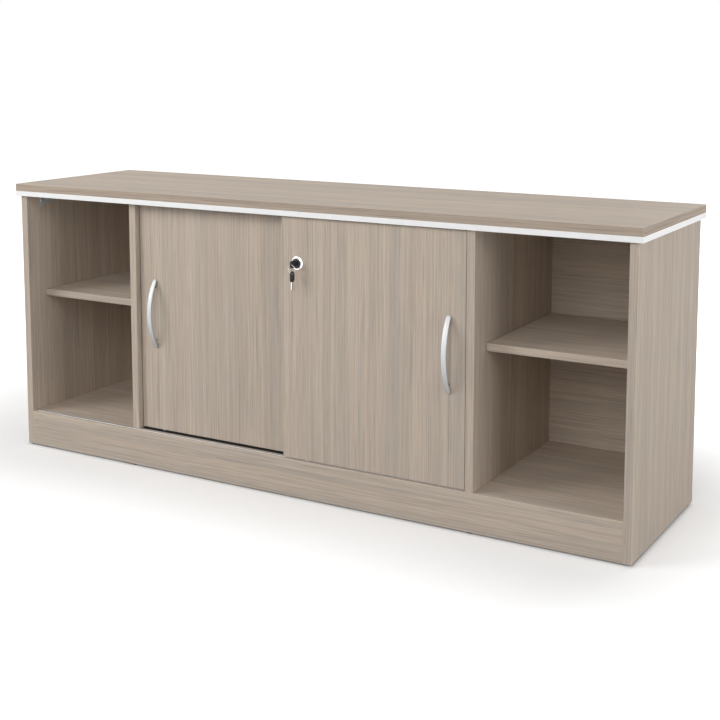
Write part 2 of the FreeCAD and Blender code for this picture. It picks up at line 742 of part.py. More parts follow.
for name, left_edge, face_y, width, handle_across in doors:
    door = board(f"{name}_door", (left_edge, face_y, "door_level"), (width, "door_thickness", "door_height"))
    run_y = f"{face_y} + {half_door}"
    roller_places = ("roller_inset", f"{width} - roller_inset")
    guide_places = ("guide_inset", f"{width} - guide_inset")

    seats = sketch(door, "XY_Plane")
    for across in roller_places:
        rectangle(seats, f"{across} - housing_length / 2", f"{half_door} - housing_width / 2",
                  f"{across} + housing_length / 2", f"{half_door} + housing_width / 2")
    pocket(door, seats, "housing_height", back=True)
    guide_seats = sketch(door, "XY_Plane", "door_height")
    for across in guide_places:
        rectangle(guide_seats, f"{across} - guide_length / 2", f"{half_door} - guide_width / 2",
                  f"{across} + guide_length / 2", f"{half_door} + guide_width / 2")
    pocket(door, guide_seats, "guide_depth")
    handle_holes = sketch(door, "XZ_Plane")
    for side in ("+", "-"):
        circle(handle_holes, handle_across, f"handle_level - door_level {side} handle_centres / 2",
               "screw_radius + screw_gap")
    pocket(door, handle_holes, "door_thickness")
    if name == "front":
        lock_hole = sketch(door, "XZ_Plane")
        circle(lock_hole, "lock_inset", "lock_level - door_level", "lock_bore_radius")
        pocket(door, lock_hole, "door_thickness")
    else:
        strike_seat = sketch(door, "XZ_Plane")
        rectangle(strike_seat, f"lock_x - {left_edge} - strike_width / 2",
                  "lock_level - door_level - strike_height / 2",
                  f"lock_x - {left_edge} + strike_width / 2", "lock_level - door_level + strike_height / 2")
        pocket(door, strike_seat, "strike_thickness")
        strike_bore = sketch(door, "XZ_Plane")
        circle(strike_bore, f"lock_x - {left_edge}", "lock_level - door_level", "strike_hole_radius")
        pocket(door, strike_bore, "strike_hole_depth")

    # rollers: a housing let into the lower edge, an axle across it and a grooved wheel
    housings = []
    axles = []
    for across in roller_places:
        middle = f"{left_edge} + {across}"
        shell = block((f"{middle} - housing_length / 2", f"{run_y} - housing_width / 2", "door_level"),
                      ("housing_length", "housing_width", "housing_height"))
        cavity = block((f"{middle} - cavity_length / 2", f"{run_y} - housing_width / 2 + housing_wall",
                        "door_level"), ("cavity_length", "housing_width - 2 * housing_wall", "cavity_height"))
        axle_start = (middle, f"{run_y} - housing_width / 2", "wheel_level")
        bore = rod(axle_start, "axle_radius", "housing_width", "y")
        housings.append(less(less(shell, cavity), bore))
        axles.append(rod(axle_start, "axle_radius", "housing_width", "y"))
    group(f"{name}_roller_housings", housings)
    group(f"{name}_roller_axles", axles)
    groove_half = "(rail_width / 2 + flange_gap)"
    for side, across in zip(("left", "right"), roller_places):
        turned(f"{name}_{side}_wheel", (f"{left_edge} + {across}", run_y, "wheel_level"),
               [("axle_radius + running_fit", "-wheel_width / 2"), ("flange_radius", "-wheel_width / 2"),
                ("flange_radius", f"-{groove_half}"), ("wheel_radius", f"-{groove_half}"),
                ("wheel_radius", groove_half), ("flange_radius", groove_half),
                ("flange_radius", "wheel_width / 2"), ("axle_radius + running_fit", "wheel_width / 2")])

    # guides: blocks let into the upper edge, with fins that run in the top track
    guides = []
    for across in guide_places:
        middle = f"{left_edge} + {across}"
        foot = "door_level + door_height - guide_depth"
        root = block((f"{middle} - guide_length / 2", f"{run_y} - guide_width / 2", foot),
                     ("guide_length", "guide_width", "guide_depth"))
        fin = block((f"{middle} - fin_length / 2", f"{run_y} - fin_width / 2", foot),
                    ("fin_length", "fin_width", "guide_depth + fin_rise"))
        guides.append(joined(root, fin))
    group(f"{name}_top_guides", guides)

    # bumpers on both upright edges
    group(f"{name}_door_bumpers", [
        rod((left_edge, run_y, "bumper_level"), "bumper_radius", "bumper_thickness", "-x"),
        rod((f"{left_edge} + {width}", run_y, "bumper_level"), "bumper_radius", "bumper_thickness", "x")])

    # bow handle: a flat band bent to an arc about the body's own X axis, on two posts
    handle = body(f"{name}_handle", (f"{left_edge} + {handle_across}",
                                     f"{face_y} + bow_radius - handle_projection", "handle_level"))
    band = sketch(handle, "XY_Plane")
    rectangle(band, "-handle_band / 2", "-bow_radius", "handle_band / 2", "handle_thickness - bow_radius")
    revolution(handle, band, "H_Axis", "bow_angle", middle=True)
    doc.recompute()
    round_edges(handle, "handle_tip_radius", straight_edges(handle, across=False))
    round_edges(handle, "handle_edge_radius")
    face_lift = "bow_radius - handle_projection"
    posts = sketch(handle, "XZ_Plane", face_lift)
    for side in ("", "-"):
        circle(posts, "0", f"{side}handle_centres / 2", "handle_post_radius")
    pad(handle, posts, "post_length")
    threads = sketch(handle, "XZ_Plane", face_lift)
    for side in ("", "-"):
        circle(threads, "0", f"{side}handle_centres / 2", "screw_radius + thread_gap")
    pocket(handle, threads, "screw_grip + screw_gap", back=True)
    group(f"{name}_handle_screws", [
        headed_screw((f"{left_edge} + {handle_across}", f"{face_y} + door_thickness",
                      f"handle_level {side} handle_centres / 2"), "-y", "screw_radius",
                     "door_thickness + screw_grip", "screw_head_radius", "screw_head_height")
        for side in ("+", "-")])

# ---------------------------------------------------------------- push lock of the front door

lock_place = ("lock_x", "front_door_y", "lock_level")
turned("lock_rosette", lock_place,
       [("lock_bore_radius", "-rosette_thickness"),
        ("rosette_radius - rosette_thickness / 2", "-rosette_thickness"),
        ("rosette_radius", "-rosette_thickness / 2"), ("rosette_radius", "0"), ("lock_bore_radius", "0")])
turned("lock_case", lock_place,
       [("plunger_radius + running_fit", "-rosette_thickness"), ("lock_bore_radius", "-rosette_thickness"),
        ("lock_bore_radius", "case_end"), ("bolt_radius + running_fit", "case_end"),
        ("bolt_radius + running_fit", "case_end - case_web"),
        ("plunger_radius + running_fit", "case_end - case_web")])
turned("lock_nut", lock_place,
       [("lock_bore_radius", "door_thickness"), ("nut_radius", "door_thickness"),
        ("nut_radius", "door_thickness + nut_thickness"),
        ("lock_bore_radius", "door_thickness + nut_thickness")])
turned("lock_plunger", lock_place,
       [("plug_radius + running_fit", "-face_seat"), ("plunger_radius", "-face_seat"),
        ("plunger_radius", "barrel_end"), ("bolt_radius", "barrel_end"),
        ("bolt_radius", "barrel_end + bolt_length"), ("0", "barrel_end + bolt_length"),
        ("0", "plug_end + plug_end_gap"),
        ("plug_radius + running_fit", "plug_end + plug_end_gap")])
turned("lock_face", lock_place,
       [("plug_radius + running_fit", "-plunger_proud"), ("plunger_radius", "-plunger_proud"),
        ("plunger_radius", "-face_seat"), ("plug_radius + running_fit", "-face_seat")])
plug = turned("lock_plug", lock_place,
              [("0", "-plunger_proud - plug_proud"), ("plug_radius", "-plunger_proud - plug_proud"),
               ("plug_radius", "plug_end"), ("0", "plug_end")])
slot = sketch(plug, "XZ_Plane", "plunger_proud + plug_proud")
rectangle(slot, "-key_thickness / 2 - slot_gap", "-key_width / 2 - slot_gap",
          "key_thickness / 2 + slot_gap", "key_width / 2 + slot_gap")
pocket(plug, slot, "key_blade_length + slot_gap")

strike = body("strike_plate", ("lock_x", "rear_door_y", "lock_level"))
plate = sketch(strike, "XZ_Plane")
rectangle(plate, "-strike_width / 2", "-strike_height / 2", "strike_width / 2", "strike_height / 2")
circle(plate, "0", "0", "strike_hole_radius")
pad(strike, plate, "strike_thickness", back=True)

# ---------------------------------------------------------------- keys

# as many notches as fit between the shoulder and the point of the blade
notch_room = sizes["key_blade_length"] - sizes["key_width"] / 2 - sizes["key_notch"] / 2
key_notches = int(notch_room / sizes["key_notch_pitch"])


def key(prefix, place, turn):
    # drawn with the shoulder at the origin, the blade along +Y and the head along -Y, flat in the YZ plane
    blade = body(f"{prefix}_blade", place, turn)
    outline = sketch(blade, "YZ_Plane")
    notched = [("-key_grip", "-key_width / 2"), ("key_blade_length - key_width / 2", "-key_width / 2"),
               ("key_blade_length", "0"), ("key_blade_length - key_width / 2", "key_width / 2")]
    for step in range(key_notches, 0, -1):
        reach = f"{step} * key_notch_pitch"
        notched += [(f"{reach} + key_notch / 2", "key_width / 2"), (reach, "key_width / 2 - key_notch"),
                    (f"{reach} - key_notch / 2", "key_width / 2")]
    notched.append(("-key_grip", "key_width / 2"))
    polygon(outline, notched)
    pad(blade, outline, "key_thickness", middle=True)
    head = body(f"{prefix}_head", place, turn)
    shape = sketch(head, "YZ_Plane")
    rectangle(shape, "-key_head_length", "-key_head_width / 2", "0", "key_head_width / 2")
    pad(head, shape, "key_head_thickness", middle=True)
    doc.recompute()
    round_edges(head, "key_head_radius", straight_edges(head, across=True))
    eye = sketch(head, "YZ_Plane", "key_head_thickness / 2")
    circle(eye, "-key_eye", "0", "key_eye_radius")
    pocket(head, eye, "key_head_thickness")
    root = sketch(head, "YZ_Plane", "key_thickness / 2")
    rectangle(root, "-key_grip", "-key_width / 2", "0", "key_width / 2")
    pocket(head, root, "key_thickness")


key("key", ("lock_x", "front_door_y - key_shoulder", "lock_level"), Rotation())
key("spare_key", ("lock_x", "spare_y", "spare_z"), Rotation(Vector(1, 0, 0), -90))

ring = doc.addObject("Part::Torus", "key_ring")
ring.Label = "key_ring"
bind(ring, "Radius1", "ring_radius")
bind(ring, "Radius2", "ring_wire")
put(ring, ("lock_x", "ring_centre_y", "ring_centre_z"), Rotation(Vector(1, 0, 0), 90))
bind(ring, "Placement.Rotation.Angle", "90 + ring_tilt")
nodes.append(ring)

# ---------------------------------------------------------------- checks and files

doc.recompute()
failed = [thing.Name for thing in doc.Objects if {"Invalid", "Error"} & set(thing.State)]
if failed:
    raise SystemExit(f"failed objects: {failed}")
for before, after in cuts:
    if not after.Shape.Volume < before.Shape.Volume:
        raise SystemExit(f"{after.Name} cuts nothing")
for node in nodes:
    if node.Shape.isNull() or not node.Shape.isValid() or not node.Shape.Solids:
        raise SystemExit(f"bad shape: {node.Label}")
os.makedirs("parts", exist_ok=True)
for node in nodes:
    node.Shape.exportStep(f"parts/{node.Label}.step")
whole = Part.makeCompound([node.Shape for node in nodes])
print(len(nodes), "nodes", whole.BoundBox)
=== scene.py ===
import json
import math

import bmesh
import bpy
from mathutils import Matrix, Vector


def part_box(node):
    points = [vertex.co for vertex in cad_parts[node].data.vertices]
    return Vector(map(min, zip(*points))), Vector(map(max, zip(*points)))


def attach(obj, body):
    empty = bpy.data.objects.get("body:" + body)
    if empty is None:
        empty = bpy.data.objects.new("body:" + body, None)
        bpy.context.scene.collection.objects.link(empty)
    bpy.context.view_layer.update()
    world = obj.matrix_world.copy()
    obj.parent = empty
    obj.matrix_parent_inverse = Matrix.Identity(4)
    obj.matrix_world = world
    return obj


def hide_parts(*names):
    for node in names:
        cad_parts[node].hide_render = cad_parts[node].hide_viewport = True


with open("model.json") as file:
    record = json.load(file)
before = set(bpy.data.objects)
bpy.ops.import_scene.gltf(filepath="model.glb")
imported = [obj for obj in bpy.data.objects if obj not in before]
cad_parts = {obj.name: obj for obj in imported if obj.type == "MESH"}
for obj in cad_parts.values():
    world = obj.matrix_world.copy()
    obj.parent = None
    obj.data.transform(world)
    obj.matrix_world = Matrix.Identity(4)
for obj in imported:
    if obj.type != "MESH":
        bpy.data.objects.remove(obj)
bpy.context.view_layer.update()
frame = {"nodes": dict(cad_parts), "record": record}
print("frame loaded")


# camera

cameraValues = {
    "place": (1.5394, -2.5347, 0.9944),
    "tilt": 6.857,              # degrees below the horizon
    "turn": 30.119,             # degrees round from straight ahead
    "lens": 64.572,
    "sensor": 36,
    "shift": -0.215,
    "reach": 60,                # metres that it sees
}


def makeCamera(values):
    data = bpy.data.cameras.new("camera")
    data.lens = values["lens"]
    data.sensor_width = values["sensor"]
    data.shift_y = values["shift"]
    data.clip_end = values["reach"]
    camera = bpy.data.objects.new("camera", data)
    camera.location = values["place"]
    camera.rotation_euler = (math.radians(90 - values["tilt"]), 0, math.radians(values["turn"]))
    bpy.context.scene.collection.objects.link(camera)
    bpy.context.scene.camera = camera


# node helpers

def newMaterial(name):
    material = bpy.data.materials.new(name)
    material.use_nodes = True
    nodes = material.node_tree.nodes
    return material, nodes, material.node_tree.links, nodes["Principled BSDF"]


def mapped(nodes, links, place, location=(0, 0, 0), scale=(1, 1, 1)):
    made = nodes.new("ShaderNodeMapping")
    made.inputs["Location"].default_value = location
    made.inputs["Scale"].default_value = scale
    links.new(place, made.inputs["Vector"])
    return made.outputs[0]


def reordered(nodes, links, place, order):
    # the same place with its letters read in another order
    split = nodes.new("ShaderNodeSeparateXYZ")
    links.new(place, split.inputs[0])
    joined = nodes.new("ShaderNodeCombineXYZ")
    for socket, letter in zip(joined.inputs, order):
        links.new(split.outputs[letter], socket)
    return joined.outputs[0]


def noise(nodes, links, place, scale, detail, roughness=0.5):
    made = nodes.new("ShaderNodeTexNoise")
    made.inputs["Scale"].default_value = scale
    made.inputs["Detail"].default_value = detail
    made.inputs["Roughness"].default_value = roughness
    links.new(place, made.inputs["Vector"])
    return made


def calculate(nodes, links, operation, first, second=None):
    # each of the two is a number or a socket
    made = nodes.new("ShaderNodeMath")
    made.operation = operation
    for socket, value in zip(made.inputs, (first, second)):
        if isinstance(value, float):
            socket.default_value = value
        elif value is not None:
            links.new(value, socket)
    return made.outputs[0]


def ramp(nodes, links, value, low, high, start=0.0, end=1.0):
    # start where the value is at the low mark, end at the high mark, and smooth between them
    made = nodes.new("ShaderNodeMapRange")
    made.interpolation_type = "SMOOTHSTEP"
    made.inputs["From Min"].default_value = low
    made.inputs["From Max"].default_value = high
    made.inputs["To Min"].default_value = start
    made.inputs["To Max"].default_value = end
    links.new(value, made.inputs["Value"])
    return made.outputs["Result"]


def blendColour(nodes, links, share, first, second, blend="MIX"):
    # each of the two is a colour or a socket
    made = nodes.new("ShaderNodeMix")
    made.data_type = "RGBA"
    made.blend_type = blend
    links.new(share, made.inputs["Factor"])
    for socket, value in ((made.inputs["A"], first), (made.inputs["B"], second)):
        if isinstance(value, tuple):
            socket.default_value = (*value, 1)
        else:
            links.new(value, socket)
    return made.outputs["Result"]


def addBump(nodes, links, shader, height, strength, distance):
    bump = nodes.new("ShaderNodeBump")
    bump.inputs["Strength"].default_value = strength
    bump.inputs["Distance"].default_value = distance
    links.new(height, bump.inputs["Height"])
    links.new(bump.outputs["Normal"], shader.inputs["Normal"])


def backgroundRays(nodes, links):
    # 1 for camera, glossy and transmission rays, 0 for the rays that light surfaces
    path = nodes.new("ShaderNodeLightPath")
    seen = calculate(nodes, links, "MAXIMUM", path.outputs["Is Camera Ray"],
                     path.outputs["Is Glossy Ray"])
    return calculate(nodes, links, "MAXIMUM", seen, path.outputs["Is Transmission Ray"])


# studio

studioValues = {
    "worldFill": 0.16,          # what the white world adds to every surface
    "floorSize": 60.0,
    "floorSeen": (0.90, 0.90, 0.90),
    "floorBounce": (0.25, 0.25, 0.25),      # what the floor throws back at the object
    "stand": (0.79, 0.20, 0.0),             # half the width and depth that stand on the floor
    "standMiddle": (0.0, 0.0, 0.0),
    "contactShadeReach": 0.012,      # metres outside the stand over which the glow comes up, so the floor along the foot keeps a painted contact shade
    "paintedShadeFadeMiddle": (-0.16, 0.0, 0.0),        # painted light and shade: the fade lies a little to the left of the object, so the floor comes up darker on its left and lighter on its right
    "fadeReach": 1.0,           # metres over which the floor melts into the backdrop
    "floorGlow": (0.13, 0.95),  # what background rays see added, near the object and past the fade
    # each lamp: name, place, aim, width, height, watts
    "lamps": (
        ("leftBox", (-3.2, -3.0, 2.3), (0.0, 0.0, 0.35), 2.6, 2.2, 101),
        ("frontBox", (0.5, -4.2, 2.3), (0.0, 0.0, 0.35), 3.0, 2.4, 62),
        ("highBox", (1.3, -3.1, 3.5), (0.0, 0.0, 0.35), 2.2, 1.8, 16),
        ("sideBox", (4.4, -0.6, 1.1), (0.5, 0.0, 0.3), 2.6, 1.6, 75),
        ("overheadBox", (-0.4, 0.4, 4.2), (0.0, 0.0, 0.4), 3.2, 2.6, 31),
        ("backBox", (1.2, 4.0, 1.5), (0.0, 0.0, 0.35), 3.0, 1.8, 52),
        ("farBox", (-4.4, 0.6, 1.2), (-0.5, 0.0, 0.3), 2.4, 1.6, 22),
    ),
}


def makeWorld(values):
    world = bpy.data.worlds.new("studioWorld")
    bpy.context.scene.world = world
    world.use_nodes = True
    nodes = world.node_tree.nodes
    links = world.node_tree.links
    background = nodes["Background"]
    background.inputs["Color"].default_value = (1, 1, 1, 1)
    strength = nodes.new("ShaderNodeMapRange")
    strength.inputs["To Min"].default_value = values["worldFill"]
    strength.inputs["To Max"].default_value = 1.0
    links.new(backgroundRays(nodes, links), strength.inputs["Value"])
    links.new(strength.outputs["Result"], background.inputs["Strength"])


def distanceOutside(nodes, links, place, middle, half):
    # how far a place on the floor lies outside a box about the middle
    for operation, second in (("SUBTRACT", middle), ("ABSOLUTE", None), ("SUBTRACT", half),
                              ("MAXIMUM", (0.0, 0.0, 0.0)), ("LENGTH", None)):
        step = nodes.new("ShaderNodeVectorMath")
        step.operation = operation
        links.new(place, step.inputs[0])
        if second:
            step.inputs[1].default_value = second
        place = step.outputs[0]
    return step.outputs["Value"]


def finishedPiece(name, form, material=None):
    # turns a bmesh into an object at the origin
    mesh = bpy.data.meshes.new(name)
    form.to_mesh(mesh)
    form.free()
    piece = bpy.data.objects.new(name, mesh)
    bpy.context.scene.collection.objects.link(piece)
    if material:
        mesh.materials.append(material)
    return piece


def makeFloor(values):
    material, nodes, links, shader = newMaterial("floorPaper")
    nodes.remove(shader)
    seen = backgroundRays(nodes, links)
    diffuse = nodes.new("ShaderNodeBsdfDiffuse")
    links.new(blendColour(nodes, links, seen, values["floorBounce"], values["floorSeen"]),
              diffuse.inputs["Color"])
    ground = nodes.new("ShaderNodeTexCoord").outputs["Object"]
    # painted shade on the floor: the glow that melts the floor into the white backdrop is weakest near
    # the object and off at the stand's edge, and its fade is centred left of the object
    near, far = values["floorGlow"]
    away = distanceOutside(nodes, links, ground, values["paintedShadeFadeMiddle"], values["stand"])
    fade = ramp(nodes, links, away, 0.0, values["fadeReach"], near, far)
    away = distanceOutside(nodes, links, ground, values["standMiddle"], values["stand"])
    contactShade = ramp(nodes, links, away, 0.0, values["contactShadeReach"])
    fade = calculate(nodes, links, "MULTIPLY", fade, contactShade)
    glow = nodes.new("ShaderNodeEmission")
    links.new(calculate(nodes, links, "MULTIPLY", fade, seen), glow.inputs["Strength"])
    both = nodes.new("ShaderNodeAddShader")
    links.new(diffuse.outputs[0], both.inputs[0])
    links.new(glow.outputs[0], both.inputs[1])
    links.new(both.outputs[0], nodes["Material Output"].inputs["Surface"])
    form = bmesh.new()
    bmesh.ops.create_grid(form, x_segments=1, y_segments=1, size=values["floorSize"] / 2)
    finishedPiece("floor", form, material)


def makeLamps(values):
    for name, place, aim, width, height, watts in values["lamps"]:
        data = bpy.data.lights.new(name, "AREA")
        data.shape = "RECTANGLE"
        data.size = width
        data.size_y = height
        data.energy = watts
        lamp = bpy.data.objects.new(name, data)
        lamp.location = place
        lamp.rotation_euler = (Vector(aim) - Vector(place)).to_track_quat("-Z", "Y").to_euler()
        bpy.context.scene.collection.objects.link(lamp)


makeCamera(cameraValues)
makeWorld(studioValues)
makeFloor(studioValues)
makeLamps(studioValues)
bpy.context.scene.view_settings.view_transform = "Standard"
print("camera and studio ready")


# laminate

laminateValues = {
    "pale": (0.670, 0.568, 0.462),
    "pink": (0.625, 0.512, 0.412),
    "grey": (0.560, 0.484, 0.410),
    "shade": (0.455, 0.392, 0.338),
    "dark": (0.310, 0.270, 0.238),
    "grainRoughness": 0.55,     # how much fine noise the grain has
    "drift": 0.006,             # metres by which the grain wanders sideways
    "driftScale": (3.5, 9.0, 9.0),          # how often it does, along and across the grain
    "endMark": 0.7,             # a face that looks along X by more than this is a board's end
    "arrisHighlight": (0.700, 0.610, 0.510),         # painted highlight: the paler line where two faces meet, standing in for light caught on the rounded arris
    "arrisHighlightShare": 0.7,
    "arrisHighlightMarks": (0.999, 0.93),            # how squarely a face looks where that painted highlight starts and ends
    "darkEdged": ("top_board",),            # boards whose edge band is a darker stretch
    "edgeTint": (0.82, 0.79, 0.77),
    "edgeMark": 0.5,            # a face that looks up or down by less than this is an edge
    "roughness": (0.53, 0.66),  # between the fibres and on them
    "specular": 0.08,
    "bump": (0.10, 0.0003),     # strength, and depth in metres
}

# each layer: scale across the grain per metre, share of it along the grain, detail, low and high
# mark, the tone that it lays on and how much of it
grainLayers = {
    "bands": (30.0, 0.014, 2.0, 0.38, 0.62, "grey", 1.0),
    "streaks": (95.0, 0.010, 3.0, 0.40, 0.62, "pink", 0.65),
    "lines": (330.0, 0.006, 3.0, 0.45, 0.65, "shade", 0.60),
    "dashes": (320.0, 0.012, 2.0, 0.56, 0.70, "dark", 0.50),
    "fibres": (1100.0, 0.014, 2.0, 0.35, 0.70, "dark", 0.28),
}


def facingSizes(nodes, links, coords):
    # how squarely a face looks along each letter, either way
    split = nodes.new("ShaderNodeSeparateXYZ")
    links.new(coords.outputs["Normal"], split.inputs[0])
    return {letter: calculate(nodes, links, "ABSOLUTE", split.outputs[letter]) for letter in "XYZ"}


def grainPlace(nodes, links, coords, facing, orders, shift, values):
    # a place in which X always runs along the grain
    along, onEnds = orders
    place = reordered(nodes, links, coords.outputs["Object"], along)
    if onEnds:
        choice = nodes.new("ShaderNodeMix")
        choice.data_type = "VECTOR"
        links.new(calculate(nodes, links, "GREATER_THAN", facing["X"], values["endMark"]),
                  choice.inputs["Factor"])
        links.new(place, choice.inputs["A"])
        links.new(reordered(nodes, links, coords.outputs["Object"], onEnds), choice.inputs["B"])
        place = [socket for socket in choice.outputs if socket.type == "VECTOR"][0]
    moved = mapped(nodes, links, place, location=shift)
    slow = mapped(nodes, links, moved, scale=values["driftScale"])
    wander = noise(nodes, links, slow, scale=1.0, detail=1.0)
    drifted = nodes.new("ShaderNodeVectorMath")
    drifted.operation = "MULTIPLY_ADD"
    links.new(wander.outputs["Color"], drifted.inputs[0])
    drifted.inputs[1].default_value = (0, values["drift"], values["drift"])
    links.new(moved, drifted.inputs[2])
    return drifted.outputs[0]


def makeLaminate(name, values, orders, shift, darkEdged):
    material, nodes, links, shader = newMaterial(name)
    coords = nodes.new("ShaderNodeTexCoord")
    facing = facingSizes(nodes, links, coords)
    place = grainPlace(nodes, links, coords, facing, orders, shift, values)
    grain = {}
    tone = values["pale"]
    for layer, (scale, along, detail, low, high, colour, weight) in grainLayers.items():
        squeezed = mapped(nodes, links, place, scale=(along, 1, 1))
        raw = noise(nodes, links, squeezed, scale, detail, values["grainRoughness"])
        grain[layer] = ramp(nodes, links, raw.outputs["Fac"], low, high)
        share = calculate(nodes, links, "MULTIPLY", grain[layer], weight)
        tone = blendColour(nodes, links, share, tone, values[colour])
    # painted highlight along the rounded edges: where a face looks squarely along no letter, the tone
    # turns to the paler arris colour
    largest = calculate(nodes, links, "MAXIMUM", facing["X"], facing["Y"])
    largest = calculate(nodes, links, "MAXIMUM", largest, facing["Z"])
    onArrisHighlight = ramp(nodes, links, largest, *values["arrisHighlightMarks"], 0.0, values["arrisHighlightShare"])
    tone = blendColour(nodes, links, onArrisHighlight, tone, values["arrisHighlight"])
    if darkEdged:
        onEdge = calculate(nodes, links, "LESS_THAN", facing["Z"], values["edgeMark"])
        tone = blendColour(nodes, links, onEdge, tone, values["edgeTint"], "MULTIPLY")
    links.new(tone, shader.inputs["Base Color"])
    shader.inputs["Specular IOR Level"].default_value = values["specular"]
    links.new(ramp(nodes, links, grain["fibres"], 0.0, 1.0, *values["roughness"]),
              shader.inputs["Roughness"])
    addBump(nodes, links, shader, grain["fibres"], *values["bump"])
    return material


# plain finishes

plainValues = {
    # base colour, metallic, roughness, mottling scale, mottling depth, bump
    "white_laminate": ((0.97, 0.97, 0.97), 0.0, 0.32, 90.0, 0.02, 0.05),
    "raw_board": ((0.50, 0.40, 0.28), 0.0, 0.85, 420.0, 0.35, 0.4),
    "aluminium": ((0.43, 0.435, 0.44), 1.0, 0.55, 900.0, 0.05, 0.05),
    "chrome": ((0.86, 0.86, 0.87), 1.0, 0.10, 500.0, 0.02, 0.0),
    "key_steel": ((0.72, 0.71, 0.69), 1.0, 0.26, 900.0, 0.08, 0.05),
    "zinc_steel": ((0.62, 0.63, 0.65), 1.0, 0.38, 700.0, 0.12, 0.05),
    "black_plastic": ((0.022, 0.022, 0.023), 0.0, 0.42, 1500.0, 0.2, 0.1),
    "grey_plastic": ((0.50, 0.52, 0.53), 0.0, 0.35, 300.0, 0.06, 0.05),
    "nylon": ((0.80, 0.79, 0.75), 0.0, 0.5, 400.0, 0.04, 0.05),
    "beech": ((0.60, 0.43, 0.26), 0.0, 0.6, 300.0, 0.2, 0.1),
}

mottlingValues = {
    "detail": 3.0,
    "marks": (0.3, 0.7),
    "roughness": (0.9, 1.1),    # shares of a finish's roughness, in its dark and its pale spots
    "bumpDepth": 0.0003,        # metres
}


def makePlain(name, values):
    colour, metallic, roughness, scale, depth, height = values
    material, nodes, links, shader = newMaterial(name)
    place = nodes.new("ShaderNodeTexCoord").outputs["Object"]
    mottling = noise(nodes, links, place, scale, mottlingValues["detail"]).outputs["Fac"]
    dark = tuple(part * (1 - depth) for part in colour)
    share = ramp(nodes, links, mottling, *mottlingValues["marks"])
    links.new(blendColour(nodes, links, share, dark, colour), shader.inputs["Base Color"])
    shader.inputs["Metallic"].default_value = metallic
    ends = [roughness * part for part in mottlingValues["roughness"]]
    links.new(ramp(nodes, links, mottling, *mottlingValues["marks"], *ends), shader.inputs["Roughness"])
    if height:
        addBump(nodes, links, shader, mottling, height, mottlingValues["bumpDepth"])
    return material


finishes = {name: makePlain(name, values) for name, values in plainValues.items()}
print("finishes ready")


# boards and fittings that keep their own shape

boardValues = {
    # boards are cut from stretches of laminate, each this many metres on from the one before
    "shift": (0.37, 0.21, 0.143),
    "stretches": 13,
    # the rear door's stretch is one whose grain runs darker by the door step, a painted shade for the
    # shadow that the front door casts there
    "chosen": {"front_door": 12, "rear_door": 4},
    # the order in which each laminate reads a place so that its grain runs along X, and the
    # order for the ends of level boards
    "grain": {"laminate_upright": ("ZXY", None), "laminate_level": ("XYZ", "YXZ")},
}

slotOf = {row["node"]: row["material_slot"] for row in frame["record"]["subparts"]}
for name, node in frame["nodes"].items():
    finish = slotOf[name]
    if finish in boardValues["grain"]:
        stretch = boardValues["chosen"].get(name, sum(map(ord, name)) % boardValues["stretches"])
        shift = tuple(stretch * part for part in boardValues["shift"])
        dressing = makeLaminate(finish + "_" + name, laminateValues, boardValues["grain"][finish],
                                shift, name in laminateValues["darkEdged"])
    else:
        dressing = finishes[finish]
    node.data.materials.clear()
    node.data.materials.append(dressing)
print("boards dressed")


# shaping helpers; the sizes in the values from here on are in millimetres

def millimetres(point):
    return Vector(point) / 1000


def wholeForm(form):
    return list(form.verts) + list(form.edges) + list(form.faces)


def bevelled(form, items, offset, segments, affect="EDGES"):
    bmesh.ops.bevel(form, geom=items, offset=offset / 1000, offset_type="OFFSET", segments=segments,
                    profile=0.5, affect=affect, clamp_overlap=True, material=-1)


def softened(form, offset, segments=2, sharpest=35):
    # rounds every edge that turns by more than the given degrees
    bevelled(form, [edge for edge in form.edges if len(edge.link_faces) == 2
                    and edge.calc_face_angle() > math.radians(sharpest)], offset, segments)


def cleaned(form, gap=0.01):
    bmesh.ops.remove_doubles(form, verts=form.verts, dist=gap / 1000)
    bmesh.ops.recalc_face_normals(form, faces=form.faces)
    return form


def flatForm(width, length):
    # a four-cornered face about the origin
    form = bmesh.new()
    bmesh.ops.create_grid(form, x_segments=1, y_segments=1, size=0.5)
    bmesh.ops.scale(form, vec=millimetres((width, length, 1)), verts=form.verts)
    return form


def thickened(form, faces, step):
    # grows flat faces into a solid
    grown = bmesh.ops.extrude_face_region(form, geom=faces)
    points = [item for item in grown["geom"] if isinstance(item, bmesh.types.BMVert)]
    bmesh.ops.translate(form, vec=millimetres(step), verts=points)
    return cleaned(form)


def blockForm(size, middle=(0, 0, 0)):
    form = bmesh.new()
    bmesh.ops.create_cube(form, size=1)
    bmesh.ops.scale(form, vec=millimetres(size), verts=form.verts)
    bmesh.ops.translate(form, vec=millimetres(middle), verts=form.verts)
    return form


def turnedForm(profile, steps):
    # (radius, height) pairs, spun about Z
    form = bmesh.new()
    points = [form.verts.new(millimetres((radius, 0, height))) for radius, height in profile]
    edges = [form.edges.new(pair) for pair in zip(points, points[1:])]
    bmesh.ops.spin(form, geom=points + edges, cent=(0, 0, 0), axis=(0, 0, 1), angle=2 * math.pi,
                   steps=steps, use_merge=True)
    return cleaned(form)


def placed(form, direction, place):
    # turns +Z to the direction and moves the form to the place
    turn = Vector((0, 0, 1)).rotation_difference(Vector(direction)).to_matrix().to_4x4()
    bmesh.ops.transform(form, matrix=Matrix.Translation(millimetres(place)) @ turn, verts=form.verts)
    return form


def addForm(target, part):
    # moves all of one form into another
    carrier = bpy.data.meshes.new("carrier")
    part.to_mesh(carrier)
    part.free()
    target.from_mesh(carrier)
    bpy.data.meshes.remove(carrier)


def repeatedForm(blank, places):
    # the same form at each place, a seat and the direction to which +Z turns
    form = bmesh.new()
    for seat, direction in places:
        addForm(form, placed(blank.copy(), direction, seat))
    blank.free()
    return form


